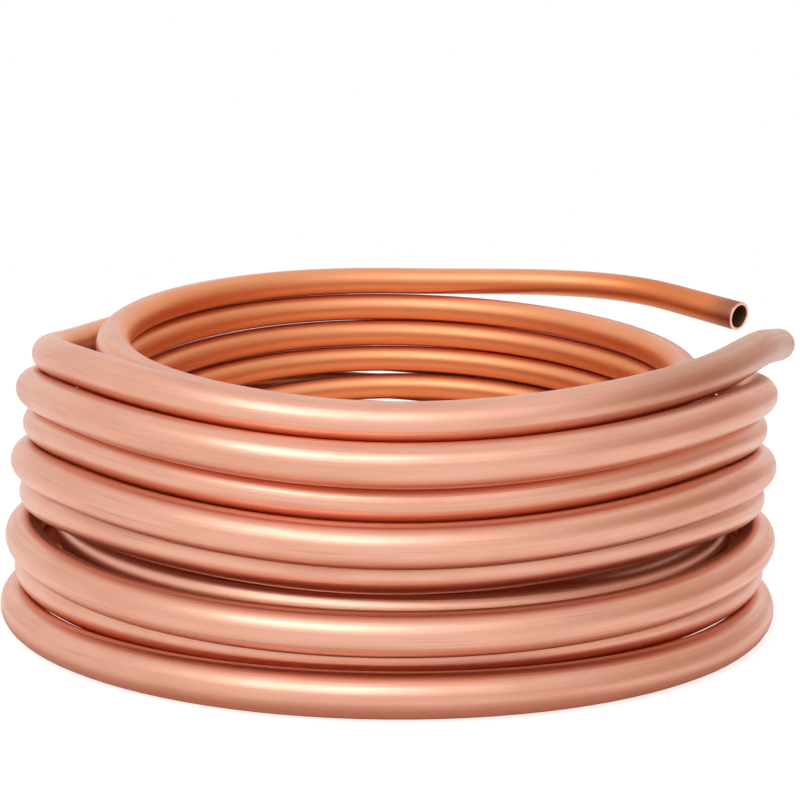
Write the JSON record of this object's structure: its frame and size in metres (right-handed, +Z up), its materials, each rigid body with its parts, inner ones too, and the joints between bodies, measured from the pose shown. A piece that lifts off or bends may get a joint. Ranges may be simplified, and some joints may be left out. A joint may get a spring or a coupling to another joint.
{
  "type": "copper tube coil",
  "caption": "Loose coil of soft copper tube, wound in layers round an open eye, with both cut ends left free at the top to take pipe fittings.",
  "frame": {"origin": "on the coil's axis, at the level of the floor it lies on", "axes": "+Z up along the coil's axis, -Y towards the front where the turns have slipped in, +X towards the side of the free ends"},
  "size_m": [0.2386, 0.2277, 0.1039],
  "materials": {
    "copper": "satin drawn copper"
  },
  "bodies": {
    "root": {"copper_tube": "copper"}
  },
  "joints": []
}
